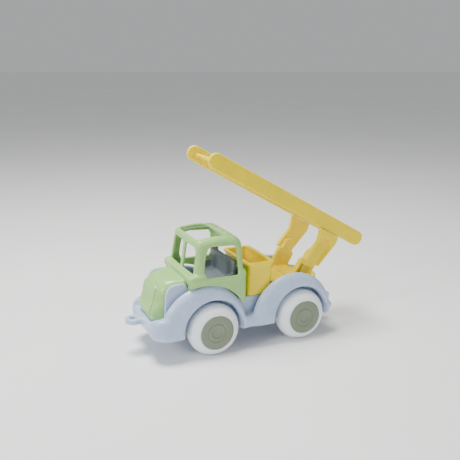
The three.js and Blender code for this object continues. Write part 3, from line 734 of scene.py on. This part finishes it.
def rung_places():
    return [RUNG_FIRST - i * RUNG_PITCH for i in range(RUNG_COUNT)]


def ladder_rails():
    g = Block((-55, -35, 34.8), (184, 35, 54.2), 0.6)
    away = np.abs(g.y)
    bar_side = rect(g.x, g.z, RAIL_TAIL, RAIL_TIP, 35.3, 53.7, 9.0)
    bar = slab(bar_side, away, RAIL_INNER, RAIL_OUTER, 1.6)
    for end in (RAIL_TAIL, RAIL_TIP):
        bar = carve(bar, slab(disc(g.x, g.z, end, 43.2, 0.9), away, 33.2, 40.0, 0.2), 0.8)
    groove = slab(rect(g.x, g.z, -46.0, 175.0, 39.8, 49.2, 4.0), away, 0.0, 29.9, 0.3)
    solid = carve(bar, groove, 0.8)
    for u in rung_places():
        rung = slab(rect(g.x, g.z, u - 3.5, u + 3.5, 42.2, 46.8, 1.8), away, -1.0, 31.0, 0.4)
        solid = blend(solid, rung, 1.6)
    piece = tilt_up(thin(g.mesh("ladder_frame", solid), 0.45))
    names = ["ladder_rail_left", "ladder_rail_right"]
    names += [f"ladder_rung_{i + 1}" for i in range(RUNG_COUNT)]
    return finish_piece(piece, "ladder", "yellow", YELLOW, *names)


def leg_side():
    side = arc((-8.7, -6.6), 3.0, 180, 270, 8) + arc((8.3, -6.6), 3.0, 270, 360, 8)
    side += [(6.4, 17.0)]
    side += curve((6.4, 19), (6.5, 25), (11.5, 35.0)) + [(-18.0, 35.0)]
    side += curve((-18.6, 33), (-20.2, 27), (-18.5, 21.0))
    return side


def ladder_legs():
    """A leg is a plate with a deep pocket, arched at its top and open at its lower end."""
    for name, side in (("left", 1), ("right", -1)):
        g = Block((-21, 30, -11), (12.5, 37, 35.6), 0.5)
        outer = slab(outline(g.x, g.z, leg_side()), g.y, LEG_INNER, LEG_OUTER, 0.8)
        arched = [(-8.2, -20.0), (8.6, -20.0), (3.8, 14.0)]
        arched += arc((-5.6, 17.4), 9.4, 0.0, 180.0) + [(-15.0, 16.0)]
        pocket = slab(outline(g.x, g.z, arched), g.y, 32.8, 50.0, 0.8)
        solid = carve(outer, pocket, 1.2)
        hole = slab(disc(g.x, g.z, 0.0, 0.0, 3.35), g.y, 0.0, 32.0, 0.2)
        solid = carve(solid, hole, 0.3)
        piece = thin(g.mesh(f"leg_{name}", solid), 0.5)
        if side < 0:
            piece.data.transform(Matrix.Scale(-1, 4, (0, 1, 0)))
            piece.data.flip_normals()
        tilt_up(piece)
        finish_piece(piece, "ladder", "yellow", YELLOW, f"ladder_leg_{name}")


def pivot_pins():
    """Short pins in blind holes of the uprights and the legs."""
    for name, side in (("left", 1), ("right", -1)):
        profile = [(0, 24.7), (2.6, 24.7), (3.0, 25.1), (3.0, 31.3), (2.6, 31.7), (0, 31.7)]
        piece = lathe(f"pin_{name}", profile, (PIVOT_X, PIVOT_Z), side, 64)
        finish_piece(piece, "ladder", "yellow", YELLOW, f"pivot_pin_{name}")


# ---- Wheels ------------------------------------------------------------------------------
def tyre_profile():
    points = []
    for angle in np.radians(np.linspace(-90, 84, 34)):
        radius = TYRE_BEAD + TYRE_SECTION * math.cos(angle)
        points.append((radius, TRACK + TYRE_HALF_WIDTH * math.sin(angle)))
    points += [(20.9, 51.7), (20.6, 51.0), (20.6, 47.4)]
    points += [(14.4, 47.4), (14.4, 24.3), (18.0, 24.1)]
    return points + [points[0]]


def rim_profile():
    return [(2.05, 24.5), (13.4, 24.5), (14.0, 25.1), (14.0, 46.9), (2.05, 46.9), (2.05, 24.5)]


def hub_profile():
    points = [(0, 47.4), (20.3, 47.4), (20.3, 50.8), (20.0, 51.6), (19.2, 52.1)]
    points += [(12.2, 52.2), (11.6, 51.6), (10.6, 51.5), (10.0, 51.9), (9.2, 52.35)]
    points += [(7.6, 52.4), (6.8, 52.0), (6.2, 51.5), (5.0, 51.3), (0, 51.25)]
    return points


def smooth_profile(points, rounds=2):
    """Cuts the corners of an open profile, keeping its ends."""
    for _ in range(rounds):
        finer = [points[0]]
        for (r0, y0), (r1, y1) in zip(points, points[1:]):
            finer.append((r0 * 0.82 + r1 * 0.18, y0 * 0.82 + y1 * 0.18))
            finer.append((r0 * 0.18 + r1 * 0.82, y0 * 0.18 + y1 * 0.82))
        points = finer + [points[-1]]
    return points


def wheels():
    for axle, centre_x in (("front", HALF_BASE), ("rear", -HALF_BASE)):
        body = f"{axle}_wheels"
        centre = (centre_x, AXLE_Z)
        for name, side in (("left", 1), ("right", -1)):
            label = f"{axle}_{name}"
            tyre = lathe(f"{label}_tyre_skin", tyre_profile(), centre, side)
            finish_piece(tyre, body, "white_tyre", WHITE, f"{label}_tyre")
            rim = lathe(f"{label}_rim_core", rim_profile(), centre, side, 64)
            finish_piece(rim, body, "white_rim", WHITE, f"{label}_rim")
            hub = lathe(f"{label}_hub_disc", smooth_profile(hub_profile()), centre, side)
            finish_piece(hub, body, "sage", SAGE, f"{label}_hub_cap")
        half, inner = SHAFT_HALF, SHAFT_HALF - 0.4
        chamfered = SHAFT_RADIUS - 0.4
        profile = [(0, -half), (chamfered, -half), (SHAFT_RADIUS, -inner)]
        profile += [(SHAFT_RADIUS, inner), (chamfered, half), (0, half)]
        shaft = lathe(f"{axle}_shaft", profile, centre, 1, 48)
        finish_piece(shaft, body, "axle_steel", STEEL, f"{axle}_axle")


# ---- Stage -------------------------------------------------------------------------------
def stage():
    mesh = bpy.data.meshes.new("floor")
    size = FLOOR_HALF
    corners = [(-size, -size, 0), (size, -size, 0), (size, size, 0), (-size, size, 0)]
    mesh.from_pydata(corners, [], [(0, 1, 2, 3)])
    floor = bpy.data.objects.new("floor", mesh)
    floor.data.materials.append(floor_material())
    bpy.context.scene.collection.objects.link(floor)
    world = bpy.data.worlds.new("studio")
    world.use_nodes = True
    world.node_tree.nodes["Background"].inputs["Color"].default_value = (0.97, 0.985, 1.0, 1)
    world.node_tree.nodes["Background"].inputs["Strength"].default_value = 0.45
    bpy.context.scene.world = world


def area_light(name, place, size, power, colour=(1, 1, 1)):
    data = bpy.data.lights.new(name, "AREA")
    data.shape = "RECTANGLE"
    data.size, data.size_y = size
    data.energy = power
    data.color = colour
    lamp = bpy.data.objects.new(name, data)
    lamp.location = place
    aim = Vector((0, 0, 0.08)) - Vector(place)
    lamp.rotation_euler = aim.to_track_quat("-Z", "Y").to_euler()
    bpy.context.scene.collection.objects.link(lamp)


def lights():
    area_light("overhead", (0.25, -0.1, 1.2), (0.4, 0.4), 23.0, (1.0, 0.99, 0.97))
    area_light("front_left", (1.2, 0.45, 0.75), (0.2, 0.2), 8.0)
    area_light("rear_fill", (-1.2, 0.9, 0.7), (0.7, 0.5), 2.0, (0.97, 0.98, 1.0))


def camera():
    turn, dip, roll = (math.radians(value) for value in (25.09, 15.23, 0.63))
    level_part = math.cos(dip)
    ahead = Vector((-math.sin(turn) * level_part, -math.cos(turn) * level_part, -math.sin(dip)))
    right = ahead.cross(Vector((0, 0, 1))).normalized()
    up = right.cross(ahead)
    rolled_right = right * math.cos(roll) + up * math.sin(roll)
    rolled_up = up * math.cos(roll) - right * math.sin(roll)
    data = bpy.data.cameras.new("view")
    data.sensor_width = 36.0
    data.lens = 50.1
    data.clip_start = 0.01
    lens = bpy.data.objects.new("view", data)
    turned = Matrix((rolled_right, rolled_up, -ahead)).transposed().to_4x4()
    lens.matrix_world = Matrix.Translation(((330.9 + SHIFT) * MM, 665.5 * MM, 335.3 * MM)) @ turned
    bpy.context.scene.collection.objects.link(lens)
    bpy.context.scene.camera = lens


camera()
stage()
lights()
chassis()
cab()
grille()
seat()
tub()
turntable()
ladder_rails()
ladder_legs()
pivot_pins()
wheels()
for keeper in ("front_axle_keeper", "rear_axle_keeper"):
    for slot in frame["nodes"][keeper].material_slots:
        slot.material = BLUE
